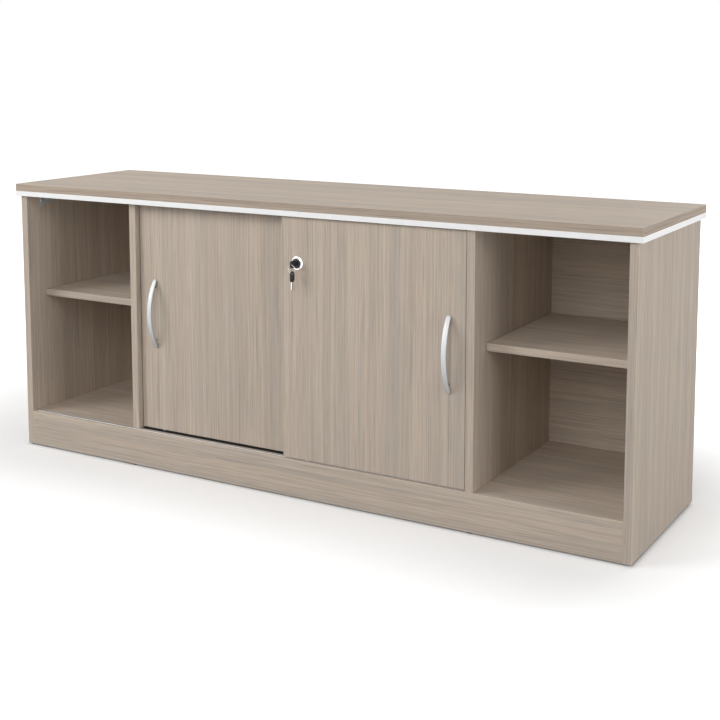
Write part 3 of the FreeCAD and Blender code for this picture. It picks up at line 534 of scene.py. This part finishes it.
creaseAngle = 40                # degrees past which an edge of a new piece looks sharp


def newPiece(name, form, finish, body, node):
    # a shaped piece that stands for a node and rides on its body
    piece = finishedPiece(name, form, finishes[finish])
    piece.data.shade_smooth()
    piece.data.set_sharp_from_angle(angle=math.radians(creaseAngle))
    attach(piece, body)
    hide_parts(node)


# bow handles

handleValues = {
    "length": 164, "rise": 25, "projection": 29, "steps": 96,
    "band": 12, "thickness": 4, "edge": 1.1, "edgeSteps": 3, "crown": 0.9, "crownCuts": 5,
    "narrowReach": 40, "tipNarrow": 0.93,   # the band narrows to this share over its last stretch
    "tipRound": 2.5, "tipEnd": 0.70,        # and to this share of that, rounded, at its very tip
    "centres": 128, "postRadius": 4.5, "postGrip": 1.5, "postSteps": 32,
    "footRadius": 5.6, "footHeight": 1.2,
    "fillet": ((0.25, 0.7), (0, 2)),        # out from the post and up from the foot
    "level": 373,
    "doorThickness": 16,
    # each handle: door, x of its middle, y of the door's face
    "places": (("front", 394, -195.5), ("rear", -392, -169.5)),
}


def makeBand(values, bow, half):
    # a section with rounded corners and a crowned front, swept through twice the half angle
    halfBand = values["band"] / 2 / 1000
    form = flatForm(values["band"], values["thickness"])
    bevelled(form, list(form.verts), values["edge"], values["edgeSteps"], "VERTICES")
    wide = [edge for edge in form.edges if edge.calc_length() > halfBand]
    bmesh.ops.subdivide_edges(form, edges=wide, cuts=values["crownCuts"])
    for point in form.verts:
        if point.co.y < 0:
            point.co.y += values["crown"] / 1000 * (point.co.x / halfBand) ** 2
    bmesh.ops.translate(form, vec=millimetres((0, values["thickness"] / 2 - bow, 0)),
                        verts=form.verts)
    bmesh.ops.rotate(form, cent=(0, 0, 0), matrix=Matrix.Rotation(-half, 3, "X"), verts=form.verts)
    bmesh.ops.spin(form, geom=wholeForm(form), cent=(0, 0, 0), axis=(1, 0, 0), angle=2 * half,
                   steps=values["steps"], use_merge=False)
    return form


def narrowTips(form, values, bow, half):
    # narrower by how near a point is to the band's end, along the bow
    for point in form.verts:
        reach = (half - abs(math.atan2(point.co.z, -point.co.y))) * bow
        narrow = values["tipNarrow"] + (1 - values["tipNarrow"]) * min(1, reach / values["narrowReach"])
        if reach < values["tipRound"]:
            bend = math.sqrt(max(0, 1 - (1 - reach / values["tipRound"]) ** 2))
            narrow *= values["tipEnd"] + (1 - values["tipEnd"]) * bend
        point.co.x *= narrow


def makeHandle(values, across, face):
    # the bow's radius, and half the angle that it spans
    halfLength = values["length"] / 2
    bow = (halfLength ** 2 + values["rise"] ** 2) / (2 * values["rise"])
    half = math.asin(halfLength / bow)
    form = makeBand(values, bow, half)
    narrowTips(form, values, bow, half)
    cleaned(form)
    # the posts, from the door's face to just inside the band
    centre = bow - values["projection"]
    halfCentres = values["centres"] / 2
    inner = bow - values["thickness"]
    stem = math.sqrt(inner ** 2 - halfCentres ** 2) - centre + values["postGrip"]
    foot, radius, height = values["footRadius"], values["postRadius"], values["footHeight"]
    profile = [(0, 0), (foot, 0), (foot, height)]
    profile += [(radius + out, height + up) for out, up in values["fillet"]]
    profile += [(radius, stem), (0, stem)]
    for level in (-halfCentres, halfCentres):
        post = turnedForm(profile, values["postSteps"])
        addForm(form, placed(post, (0, -1, 0), (0, centre, level)))
    middle = millimetres((across, face + centre, values["level"]))
    bmesh.ops.translate(form, vec=middle, verts=form.verts)
    return form


for side, across, face in handleValues["places"]:
    newPiece(side + "BowHandle", makeHandle(handleValues, across, face), "aluminium", side + "_door",
             side + "_handle")
print("handles ready")


# push lock

lockValues = {
    "place": (24, -195.5, 532),
    "steps": 64,
    # each turned piece: name, finish, body, node, and its outline from the door's face outwards
    "turned": (
        ("lockRosette", "chrome", "front_door", "lock_rosette",
         [(12.5, 0), (15, 0), (15, 0.7), (14.6, 1.5), (13.8, 2.0), (12.5, 2.0)]),
        ("lockBarrel", "chrome", "lock_plunger", "lock_plunger",
         [(6.05, -15.8), (6.05, 4.0), (11.3, 4.0), (11.5, 3.8), (11.5, -16.8), (4.5, -16.8),
          (4.5, -20.6), (4.1, -21.0), (0, -21.0), (0, -15.8)]),
        ("lockFace", "black_plastic", "lock_plunger", "lock_face",
         [(6.05, 4.0), (6.05, 4.75), (6.3, 5.0), (10.7, 5.0), (11.2, 4.8), (11.5, 4.4), (11.5, 4.0),
          (6.05, 4.0)]),
    ),
}

nutValues = {
    "sides": 6, "sideCuts": 7, "radius": 16, "bore": 12.5, "height": 3, "edge": 0.4,
    "back": 16,                 # from the door's face to the nut's seat
}


def makeNut(values):
    # a six-sided nut with softened edges, round the lock's case
    form = bmesh.new()
    bmesh.ops.create_circle(form, cap_ends=False, segments=values["sides"],
                            radius=values["radius"] / 1000)
    bmesh.ops.subdivide_edges(form, edges=list(form.edges), cuts=values["sideCuts"])
    bmesh.ops.create_circle(form, cap_ends=False, segments=values["sides"] * (values["sideCuts"] + 1),
                            radius=values["bore"] / 1000)
    bmesh.ops.bridge_loops(form, edges=list(form.edges))
    thickened(form, list(form.faces), (0, 0, values["height"]))
    softened(form, values["edge"])
    return form


for name, finish, body, node, outline in lockValues["turned"]:
    form = placed(turnedForm(outline, lockValues["steps"]), (0, -1, 0), lockValues["place"])
    newPiece(name, form, finish, body, node)
across, face, level = lockValues["place"]
form = placed(makeNut(nutValues), (0, 1, 0), (across, face + nutValues["back"], level))
newPiece("lockNut", form, "zinc_steel", "front_door", "lock_nut")
print("lock ready")


# key heads and the ring that joins them

keyValues = {
    "length": 23.5, "width": 16, "thickness": 3, "corner": 6,
    "edge": 0.7, "edgeSteps": 3, "edgeSharpest": 50,
    "eyeRadius": 2.6, "eyeInset": 5.5, "loopSteps": 24,
    "padInset": 1.0, "padDepth": 0.35,
    "padMark": 0.9,             # a face that looks along Z by more than this gets a pad
    # each key: name, body, node
    "keys": (
        ("keyHead", "key", "key_head"),
        ("spareKeyHead", "spare_keys", "spare_key_head"),
    ),
}


def makeKeyHead(values, node):
    # drawn flat with the shoulder at the origin and the head along +Y, then set where the node is
    form = flatForm(values["width"], values["length"])
    # its four corners get as many points as the eye, so that the two loops match
    bevelled(form, list(form.verts), values["corner"], values["loopSteps"] // 4 - 1, "VERTICES")
    bmesh.ops.delete(form, geom=list(form.faces), context="FACES_ONLY")
    eye = millimetres((0, values["length"] / 2 - values["eyeInset"], 0))
    bmesh.ops.create_circle(form, cap_ends=False, segments=values["loopSteps"],
                            radius=values["eyeRadius"] / 1000, matrix=Matrix.Translation(eye))
    bmesh.ops.bridge_loops(form, edges=list(form.edges))
    thickened(form, list(form.faces), (0, 0, values["thickness"]))
    # a sunk pad on each flat
    for sign in (-1, 1):
        flat = [face for face in form.faces if face.normal.z * sign > values["padMark"]]
        bmesh.ops.inset_region(form, faces=flat, thickness=values["padInset"] / 1000,
                               depth=-values["padDepth"] / 1000, use_even_offset=True,
                               use_boundary=True)
    softened(form, values["edge"], values["edgeSteps"], values["edgeSharpest"])
    bmesh.ops.translate(form, vec=millimetres((0, values["length"] / 2, -values["thickness"] / 2)),
                        verts=form.verts)
    # from drawn axes (x across, y along the head, z through it) to the node's: a head that is
    # deeper than high points out of the lock, and the other one up to the ring
    low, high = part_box(node)
    middle = (Vector(low) + Vector(high)) / 2
    if high[1] - low[1] > high[2] - low[2]:
        turn = Matrix(((0, 0, 1), (0, -1, 0), (1, 0, 0)))
        start = Vector((middle.x, high[1], middle.z))
    else:
        turn = Matrix(((0, 0, 1), (1, 0, 0), (0, 1, 0)))
        start = Vector((middle.x, middle.y, low[2]))
    bmesh.ops.transform(form, matrix=Matrix.Translation(start) @ turn.to_4x4(), verts=form.verts)
    bmesh.ops.recalc_face_normals(form, faces=form.faces)
    return form


for name, body, node in keyValues["keys"]:
    newPiece(name, makeKeyHead(keyValues, node), "black_plastic", body, node)

ringValues = {
    "radius": 9, "turns": 1.9, "pitch": 1.05, "steps": 120,
    "wire": 0.5, "wireSteps": 10, "mergeGap": 0.001,
    "tilt": 99,                 # degrees about X from lying flat
}


def makeRing(values):
    # a round wire wound almost twice
    form = bmesh.new()
    bmesh.ops.create_circle(form, cap_ends=True, segments=values["wireSteps"],
                            radius=values["wire"] / 1000)
    bmesh.ops.rotate(form, cent=(0, 0, 0), matrix=Matrix.Rotation(math.pi / 2, 3, "X"),
                     verts=form.verts)
    bmesh.ops.translate(form, vec=millimetres((-values["radius"], 0, -values["pitch"] / 2)),
                        verts=form.verts)
    bmesh.ops.spin(form, geom=wholeForm(form), cent=(0, 0, 0), axis=(0, 0, 1),
                   dvec=millimetres((0, 0, values["pitch"] / values["steps"])),
                   angle=2 * math.pi * values["turns"], steps=values["steps"], use_merge=False)
    cleaned(form, values["mergeGap"])
    low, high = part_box("key_ring")
    centre = Matrix.Translation((Vector(low) + Vector(high)) / 2)
    turn = Matrix.Rotation(math.radians(values["tilt"]), 4, "X")
    bmesh.ops.transform(form, matrix=centre @ turn, verts=form.verts)
    return form


newPiece("splitRing", makeRing(ringValues), "key_steel", "spare_keys", "key_ring")
print("keys ready")


# corner brackets under the top

bracketValues = {
    "leg": 10, "drop": 32, "length": 52, "heel": 28, "toe": 21, "flange": 16, "wall": 3,
    "ribs": (18, 24), "ribWall": 1.6, "ribDrop": 14,
    "ribReach": 0.8,            # share of the flange
    "edge": 0.5,
    "holeDrop": 16, "holeInset": 34,
    "ceiling": 635,
    # each upright's face, the side to which its brackets stand and their fronts
    "faces": ((-772, 1, (-155.5, 129.5)), (-457, -1, (-155.5, 129.5)), (433, -1, (-131.5, 129.5)),
              (772, -1, (-155.5, 129.5))),
}


def bracketParts(values, sign):
    # the plate on the upright, the flange under the top and the ribs between them
    outline = ((0, 0), (0, -values["drop"]), (values["leg"], -values["drop"]),
               (values["leg"], -values["heel"]), (values["length"], -values["toe"]),
               (values["length"], 0))
    plate = bmesh.new()
    corners = [plate.verts.new(millimetres((0, along, level))) for along, level in outline]
    parts = [thickened(plate, [plate.faces.new(corners)], (sign * values["wall"], 0, 0))]
    blocks = [(0, values["length"], values["flange"], values["wall"])]
    blocks += [(rib, values["ribWall"], values["flange"] * values["ribReach"], values["ribDrop"])
               for rib in values["ribs"]]
    for along, depth, wide, high in blocks:
        middle = (sign * wide / 2, along + depth / 2, -high / 2)
        parts.append(cleaned(blockForm((wide, depth, high), middle)))
    return parts


def makeBrackets(values):
    form = bmesh.new()
    for face, sign, fronts in values["faces"]:
        for front in fronts:
            corner = millimetres((face, front, values["ceiling"]))
            for part in bracketParts(values, sign):
                softened(part, values["edge"])
                bmesh.ops.translate(part, vec=corner, verts=part.verts)
                addForm(form, part)
    return form


newPiece("cornerBrackets", makeBrackets(bracketValues), "grey_plastic", "carcass", "corner_brackets")
print("brackets ready")


# screws with cross recesses

screwValues = {
    # head radius, head height, shank radius, shank length, recess width, recess depth
    "handle": (4.0, 2.4, 2.0, 8.0, 4.4, 1.5),
    "bracket": (3.6, 2.0, 1.75, 7.0, 4.0, 1.3),
    "back": (3.0, 1.2, 1.5, 12.0, 3.2, 0.9),
    # shares of the head's radius and height, up its outline
    "headOutline": ((0, 0), (1, 0), (1, 0.45), (0.88, 0.78), (0.62, 0.95), (0, 1)),
    "headSteps": 24,
    "shankTip": 0.6, "shankGap": 0.05, "shankSteps": 16,
    "recessArm": 0.22,          # an arm's thickness, as a share of the recess's width
    "recessTaper": 0.55,        # share of that width at its bottom
}

backScrewValues = {
    "seat": 223.3,
    "columns": (-781, -448, 442, 781), "levels": (146, 352.5, 595),
    "lower": ((-386, 79), (386, 79)),
}


def recessForm(values, wide, deep, headHeight):
    # two crossed arms that narrow towards the bottom
    cutter = bmesh.new()
    for turn in (0, math.pi / 2):
        # twice as high as the head, so that it stands out above it
        arm = blockForm((wide, wide * values["recessArm"], headHeight * 2))
        for point in arm.verts:
            if point.co.z < 0:
                point.co.x *= values["recessTaper"]
        bmesh.ops.translate(arm, vec=millimetres((0, 0, 2 * headHeight - deep)), verts=arm.verts)
        bmesh.ops.rotate(arm, cent=(0, 0, 0), matrix=Matrix.Rotation(turn, 3, "Z"), verts=arm.verts)
        addForm(cutter, arm)
    return cutter


def cutForm(blank, cutter):
    # takes the cutter out of the blank
    blankPiece = finishedPiece("headBlank", blank)
    cutterPiece = finishedPiece("recess", cutter)
    modifier = blankPiece.modifiers.new("recess", "BOOLEAN")
    modifier.operation = "DIFFERENCE"
    modifier.solver = "EXACT"
    modifier.use_self = True
    modifier.object = cutterPiece
    bpy.context.view_layer.update()
    graph = bpy.context.evaluated_depsgraph_get()
    form = bmesh.new()
    form.from_mesh(bpy.data.meshes.new_from_object(blankPiece.evaluated_get(graph)))
    for piece in (blankPiece, cutterPiece):
        bpy.data.objects.remove(piece)
    return form


def makeScrew(values, kind):
    # the head's seat lies at height 0, the head rises along +Z and the shank goes down
    headRadius, headHeight, radius, length, wide, deep = values[kind]
    head = turnedForm([(headRadius * out, headHeight * up) for out, up in values["headOutline"]],
                      values["headSteps"])
    form = cutForm(head, recessForm(values, wide, deep, headHeight))
    shank = [(0, -length), (radius * values["shankTip"], -length), (radius, radius - length),
             (radius, -values["shankGap"]), (0, -values["shankGap"])]
    addForm(form, turnedForm(shank, values["shankSteps"]))
    return form


def bracketScrewPlaces(values):
    # one screw up through each flange and one into the upright
    places = []
    for face, sign, fronts in values["faces"]:
        for front in fronts:
            places.append(((face + sign * values["flange"] / 2, front + values["holeInset"],
                            values["ceiling"] - values["wall"]), (0, 0, -1)))
            places.append(((face + sign * values["wall"], front + values["leg"] / 2,
                            values["ceiling"] - values["holeDrop"]), (sign, 0, 0)))
    return places


def backScrewPlaces(values):
    spots = [(across, level) for across in values["columns"] for level in values["levels"]]
    spots += values["lower"]
    return [((across, values["seat"], level), (0, 1, 0)) for across, level in spots]


def handleScrewPlaces(values, across, face):
    half = values["centres"] / 2
    return [((across, face + values["doorThickness"], values["level"] + offset), (0, 1, 0))
            for offset in (-half, half)]


form = repeatedForm(makeScrew(screwValues, "bracket"), bracketScrewPlaces(bracketValues))
newPiece("bracketScrews", form, "zinc_steel", "carcass", "bracket_screws")
form = repeatedForm(makeScrew(screwValues, "back"), backScrewPlaces(backScrewValues))
newPiece("backScrews", form, "zinc_steel", "carcass", "back_screws")
for side, across, face in handleValues["places"]:
    form = repeatedForm(makeScrew(screwValues, "handle"), handleScrewPlaces(handleValues, across, face))
    newPiece(side + "HandleScrews", form, "zinc_steel", side + "_door", side + "_handle_screws")
print("screws ready")


# door bumpers

bumperValues = {
    "outline": [(0, 1.7), (1.6, 1.62), (3.0, 1.3), (4.0, 0.75), (4.5, 0), (0, 0)],
    "steps": 32,
    "level": 505,
    # each door: name, left edge, right edge, middle of its thickness
    "doors": (("front", -16, 431, -187.5), ("rear", -437, 59, -161.5)),
}

for side, left, right, middle in bumperValues["doors"]:
    places = [((across, middle, bumperValues["level"]), direction)
              for across, direction in ((left, (-1, 0, 0)), (right, (1, 0, 0)))]
    form = repeatedForm(turnedForm(bumperValues["outline"], bumperValues["steps"]), places)
    newPiece(side + "Bumpers", form, "nylon", side + "_door", side + "_door_bumpers")


# front rail

railValues = {
    "left": -759, "right": 432, "middle": -187.5, "width": 5, "low": 82, "high": 89.5,
    "round": 1.2, "roundSteps": 4,
}


def makeRail(values):
    # a bar with its two upper edges and its upper ends rounded
    left, right, low, high = (values[key] for key in ("left", "right", "low", "high"))
    form = blockForm((right - left, values["width"], high - low),
                     ((left + right) / 2, values["middle"], (low + high) / 2))
    halfway = millimetres((0, 0, (low + high) / 2)).z
    upper = [edge for edge in form.edges if all(point.co.z > halfway for point in edge.verts)]
    bevelled(form, upper, values["round"], values["roundSteps"])
    return form


newPiece("frontRail", makeRail(railValues), "aluminium", "carcass", "front_rail")


# floor glides

glideValues = {
    "outline": [(0, 0), (6.8, 0), (7.6, 0.5), (8, 1.2), (8, 3), (0, 3)],
    "steps": 32,
    # each pair of uprights: their middles, and the places of their glides from front to back
    "uprights": (((-781, 781), (-167.5, 191.5)), ((-448, 442), (-188.5, 212.5))),
}

places = [((across, along, 0), (0, 0, 1)) for middles, rows in glideValues["uprights"]
          for across in middles for along in rows]
form = repeatedForm(turnedForm(glideValues["outline"], glideValues["steps"]), places)
newPiece("floorGlides", form, "black_plastic", "carcass", "floor_glides")


# shelf pins

pinValues = {
    "outline": [(0, -8), (2.0, -8), (2.5, -7.4), (2.5, 7.2), (2.2, 7.8), (1.6, 8.0), (0, 8.0)],
    "steps": 24,
    "level": 373.4,
    "rows": (-99.5, 179.5),
    # each face with pins and the side to which they stand out
    "faces": ((-772, 1), (-457, -1), (-439, 1), (433, -1), (451, 1), (772, -1)),
}

places = [((across, along, pinValues["level"]), (sign, 0, 0)) for across, sign in pinValues["faces"]
          for along in pinValues["rows"]]
form = repeatedForm(turnedForm(pinValues["outline"], pinValues["steps"]), places)
newPiece("shelfPins", form, "zinc_steel", "carcass", "shelf_pins")
print("small fittings ready")
